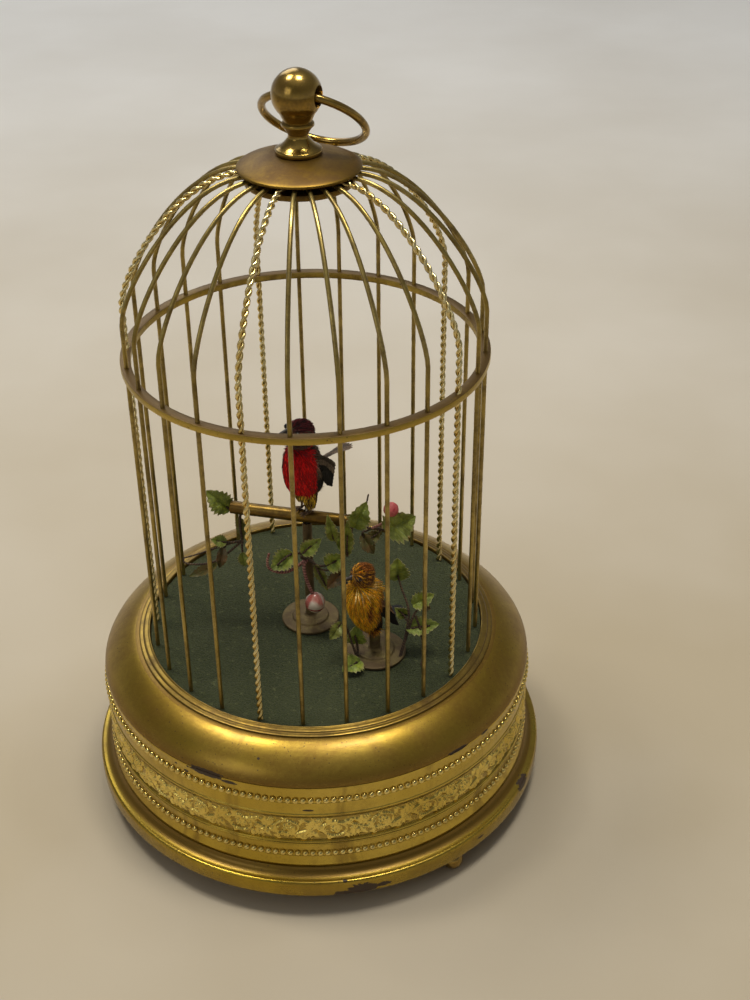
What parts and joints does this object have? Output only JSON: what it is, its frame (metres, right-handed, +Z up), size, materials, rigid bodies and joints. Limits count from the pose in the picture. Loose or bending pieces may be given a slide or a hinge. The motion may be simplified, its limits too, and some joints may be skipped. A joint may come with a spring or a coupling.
{
  "type": "singing bird automaton",
  "caption": "Domed brass wire birdcage on a turned, embossed base that holds a wind-up movement, with feathered birds on a perch and a stand and a ring handle on the finial.",
  "frame": {"origin": "on the cage's vertical axis, at the table under the ball feet", "axes": "+Z up along the cage's axis, -Y towards the front of the picture, +X to its right"},
  "size_m": [0.1706, 0.1706, 0.2712],
  "materials": {
    "brass": "polished brass, worn",
    "patinated_brass": "brown patina",
    "steel": "plain steel",
    "green_flock": "dark green flock",
    "leaf_cloth": "dyed cloth leaves on wire",
    "red_feathers": "bright red feathers",
    "maroon_feathers": "dark maroon feathers",
    "brown_feathers": "grey-brown feathers",
    "black_feathers": "black feathers",
    "yellow_feathers": "orange-yellow feathers",
    "horn": "dark horn",
    "kid_leather": "thin pleated leather",
    "pear_wood": "plain wood"
  },
  "bodies": {
    "cage_and_base": {"ball_foot_1": "brass", "ball_foot_2": "brass", "ball_foot_3": "brass", "base_foot": "brass", "bottom_plate": "patinated_brass", "base_band": "brass", "base_shoulder": "brass", "floor_rim": "patinated_brass", "cage_floor": "green_flock", "bar_pair_01": "brass", "bar_pair_02": "brass", "bar_pair_03": "brass", "bar_pair_04": "brass", "bar_pair_05": "brass", "bar_pair_06": "brass", "bar_pair_07": "brass", "bar_pair_08": "brass", "bar_pair_09": "brass", "bar_pair_10": "brass", "twisted_bar_1": "brass", "twisted_bar_2": "brass", "twisted_bar_3": "brass", "twisted_bar_4": "brass", "twisted_bar_5": "brass", "cage_hoop": "patinated_brass", "cap_disc": "patinated_brass", "finial": "brass", "crown_nut": "brass", "perch": "brass", "perch_post": "brass", "bird_stand": "patinated_brass", "left_sprig": "leaf_cloth", "right_sprig": "leaf_cloth", "bud_sprig": "leaf_cloth", "red_bird_body": "red_feathers", "yellow_bird_body": "yellow_feathers", "movement_plate": "patinated_brass", "bellows_chest": "kid_leather", "whistle_tube": "brass"},
    "ring": {"ring_handle": "brass"},
    "red_head": {"red_bird_head": "maroon_feathers"},
    "red_beak": {"red_bird_beak": "horn"},
    "red_tail": {"red_bird_tail": "brown_feathers"},
    "yellow_head": {"yellow_bird_head": "yellow_feathers"},
    "yellow_beak": {"yellow_bird_beak": "horn"},
    "yellow_tail": {"yellow_bird_tail": "black_feathers"},
    "winding": {"winding_arbor": "steel", "winding_key": "brass"},
    "click": {"click": "steel"},
    "barrel": {"spring_barrel": "brass"},
    "second_wheel": {"second_wheel": "brass"},
    "cams": {"cam_wheel": "brass"},
    "fly": {"fly_governor": "brass"},
    "bellows_top": {"bellows_board": "pear_wood"},
    "piston": {"whistle_piston": "steel"},
    "red_follower": {"red_lever": "steel"},
    "yellow_follower": {"yellow_lever": "steel"},
    "red_push_rod": {"red_rod": "steel"},
    "yellow_push_rod": {"yellow_rod": "steel"},
    "start": {"start_lever": "steel"}
  },
  "joints": [
    {"name": "ring_swing", "type": "hinge", "parent": "cage_and_base", "child": "ring", "pos_m": [0, 0, 0.26328], "axis": [0.9336, -0.3584, 0], "range_deg": [0, 265]},
    {"name": "red_head_turn", "type": "hinge", "parent": "cage_and_base", "child": "red_head", "pos_m": [-0.00307, -0.00115, 0.14095], "axis": [0, 0, 1], "range_deg": [-35, 35]},
    {"name": "red_beak_open", "type": "hinge", "parent": "red_head", "child": "red_beak", "pos_m": [-0.0092, -0.00544, 0.14618], "axis": [0.5736, -0.8192, 0], "range_deg": [0, 15]},
    {"name": "red_tail_lift", "type": "hinge", "parent": "cage_and_base", "child": "red_tail", "pos_m": [0.00459, 0.00421, 0.13272], "axis": [0.5736, -0.8192, 0], "range_deg": [0, 12]},
    {"name": "yellow_head_turn", "type": "hinge", "parent": "cage_and_base", "child": "yellow_head", "pos_m": [0.01803, -0.02235, 0.09707], "axis": [0, 0, 1], "range_deg": [-35, 35]},
    {"name": "yellow_beak_open", "type": "hinge", "parent": "yellow_head", "child": "yellow_beak", "pos_m": [0.01256, -0.0249, 0.09934], "axis": [0.4226, -0.9063, 0], "range_deg": [0, 15]},
    {"name": "yellow_tail_lift", "type": "hinge", "parent": "cage_and_base", "child": "yellow_tail", "pos_m": [0.02487, -0.01916, 0.08197], "axis": [0.4226, -0.9063, 0], "range_deg": [0, 12]},
    {"name": "winding_turn", "type": "hinge", "parent": "cage_and_base", "child": "winding", "pos_m": [-0.034, 0.012, 0], "axis": [0, 0, 1], "range_deg": [0, 1890]},
    {"name": "click_lift", "type": "hinge", "parent": "cage_and_base", "child": "click", "pos_m": [-0.037, 0.027, 0.046], "axis": [0, 0, 1], "range_deg": [0, 12], "stiffness_Nm_per_rad": 0.002},
    {"name": "barrel_turn", "type": "hinge", "parent": "cage_and_base", "child": "barrel", "pos_m": [-0.034, 0.012, 0], "axis": [0, 0, 1], "continuous": true},
    {"name": "second_wheel_turn", "type": "hinge", "parent": "cage_and_base", "child": "second_wheel", "pos_m": [-0.02494, -0.02181, 0], "axis": [0, 0, 1], "continuous": true},
    {"name": "cam_turn", "type": "hinge", "parent": "cage_and_base", "child": "cams", "pos_m": [0.01426, 0.02051, 0], "axis": [0, 0, 1], "continuous": true},
    {"name": "fly_turn", "type": "hinge", "parent": "cage_and_base", "child": "fly", "pos_m": [-0.00249, -0.02577, 0], "axis": [0, 0, 1], "continuous": true},
    {"name": "bellows_open", "type": "hinge", "parent": "cage_and_base", "child": "bellows_top", "pos_m": [0.05, 0.012, 0.03012], "axis": [-1, 0, 0], "range_deg": [0, 10]},
    {"name": "whistle_slide", "type": "slide", "parent": "cage_and_base", "child": "piston", "axis": [1, 0, 0], "range_m": [0, 0.012]},
    {"name": "red_lever_rock", "type": "hinge", "parent": "cage_and_base", "child": "red_follower", "pos_m": [0.00377, 0.00702, 0.0538], "axis": [0.7895, -0.6138, 0], "range_deg": [0, 6]},
    {"name": "red_rod_slide", "type": "slide", "parent": "cage_and_base", "child": "red_push_rod", "axis": [0, 0, 1], "range_m": [-0.001, 0]},
    {"name": "yellow_lever_rock", "type": "hinge", "parent": "cage_and_base", "child": "yellow_follower", "pos_m": [0.01884, -0.00378, 0.0538], "axis": [0.9826, 0.1856, 0], "range_deg": [0, 4]},
    {"name": "yellow_rod_slide", "type": "slide", "parent": "cage_and_base", "child": "yellow_push_rod", "axis": [0, 0, 1], "range_m": [-0.0012, 0]},
    {"name": "start_lever_swing", "type": "hinge", "parent": "cage_and_base", "child": "start", "pos_m": [0, 0.062, 0.0053], "axis": [0, 0, 1], "range_deg": [-12, 12]}
  ],
  "couplings": [
    {"joint": "red_beak_open", "follows": "red_lever_rock", "ratio": 2.5},
    {"joint": "red_tail_lift", "follows": "red_lever_rock", "ratio": 2},
    {"joint": "red_rod_slide", "follows": "red_lever_rock", "m_per_rad": -0.009392},
    {"joint": "yellow_beak_open", "follows": "yellow_lever_rock", "ratio": 3.75},
    {"joint": "yellow_tail_lift", "follows": "yellow_lever_rock", "ratio": 3},
    {"joint": "yellow_rod_slide", "follows": "yellow_lever_rock", "m_per_rad": -0.017017},
    {"joint": "second_wheel_turn", "follows": "barrel_turn", "ratio": -4},
    {"joint": "cam_turn", "follows": "barrel_turn", "ratio": -1.3333},
    {"joint": "fly_turn", "follows": "barrel_turn", "ratio": 15}
  ]
}
